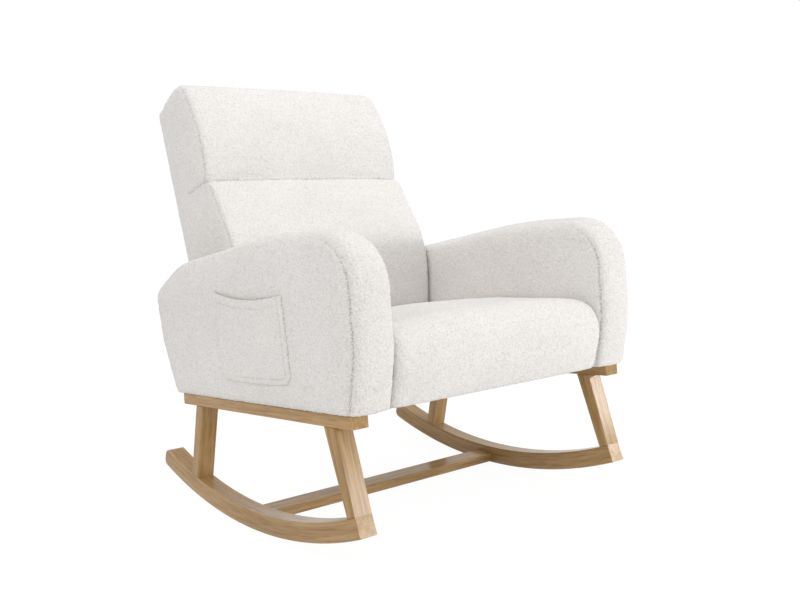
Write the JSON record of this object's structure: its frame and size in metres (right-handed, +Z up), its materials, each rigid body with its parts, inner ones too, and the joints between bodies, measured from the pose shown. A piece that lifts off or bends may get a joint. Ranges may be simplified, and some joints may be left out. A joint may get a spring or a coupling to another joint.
{
  "type": "rocking chair",
  "caption": "Upholstered rocking chair with an oak rocker base, padded arms with side pockets, a deep seat and a reclined back in loop-pile cloth.",
  "frame": {"origin": "on the floor, under the middle of the chair's box; the runners touch the floor 25.8 mm ahead of it", "axes": "+X to the sitter's left, +Y to the back of the chair, +Z up"},
  "size_m": [0.807, 0.951, 0.9525],
  "materials": {
    "oak": "satin clear lacquer",
    "boucle": "off-white loop pile over foam",
    "frame_timber": "sawn",
    "webbing": "woven elastic",
    "dust_cloth": "thin non-woven",
    "steel": "zinc plated"
  },
  "bodies": {
    "root": {"arm_bolts": "steel", "arm_nuts": "steel", "back_bolts": "steel", "back_foot_rail": "frame_timber", "back_lumbar_rail": "frame_timber", "back_middle_rail": "frame_timber", "back_nuts": "steel", "back_shell_cover": "boucle", "back_top_rail": "frame_timber", "back_webbing": "webbing", "dust_cover": "dust_cloth", "head_pad": "boucle", "left_arm_battens": "frame_timber", "left_arm_cleat": "frame_timber", "left_arm_inner_panel": "frame_timber", "left_arm_outer_panel": "frame_timber", "left_arm_padding": "boucle", "left_arm_pocket": "boucle", "left_back_post": "frame_timber", "left_front_leg": "oak", "left_rail": "oak", "left_rear_leg": "oak", "left_runner": "oak", "left_seat_side_timber": "frame_timber", "leg_tenons": "oak", "lumbar_pad": "boucle", "rail_bolts": "steel", "rail_nuts": "steel", "right_arm_battens": "frame_timber", "right_arm_cleat": "frame_timber", "right_arm_inner_panel": "frame_timber", "right_arm_outer_panel": "frame_timber", "right_arm_padding": "boucle", "right_arm_pocket": "boucle", "right_back_post": "frame_timber", "right_front_leg": "oak", "right_rail": "oak", "right_rear_leg": "oak", "right_runner": "oak", "right_seat_side_timber": "frame_timber", "seat_corner_blocks": "frame_timber", "seat_cross_webbing": "webbing", "seat_cushion": "boucle", "seat_front_timber": "frame_timber", "seat_rear_timber": "frame_timber", "seat_webbing": "webbing", "stretcher": "oak", "stretcher_tenons": "oak"}
  },
  "joints": []
}
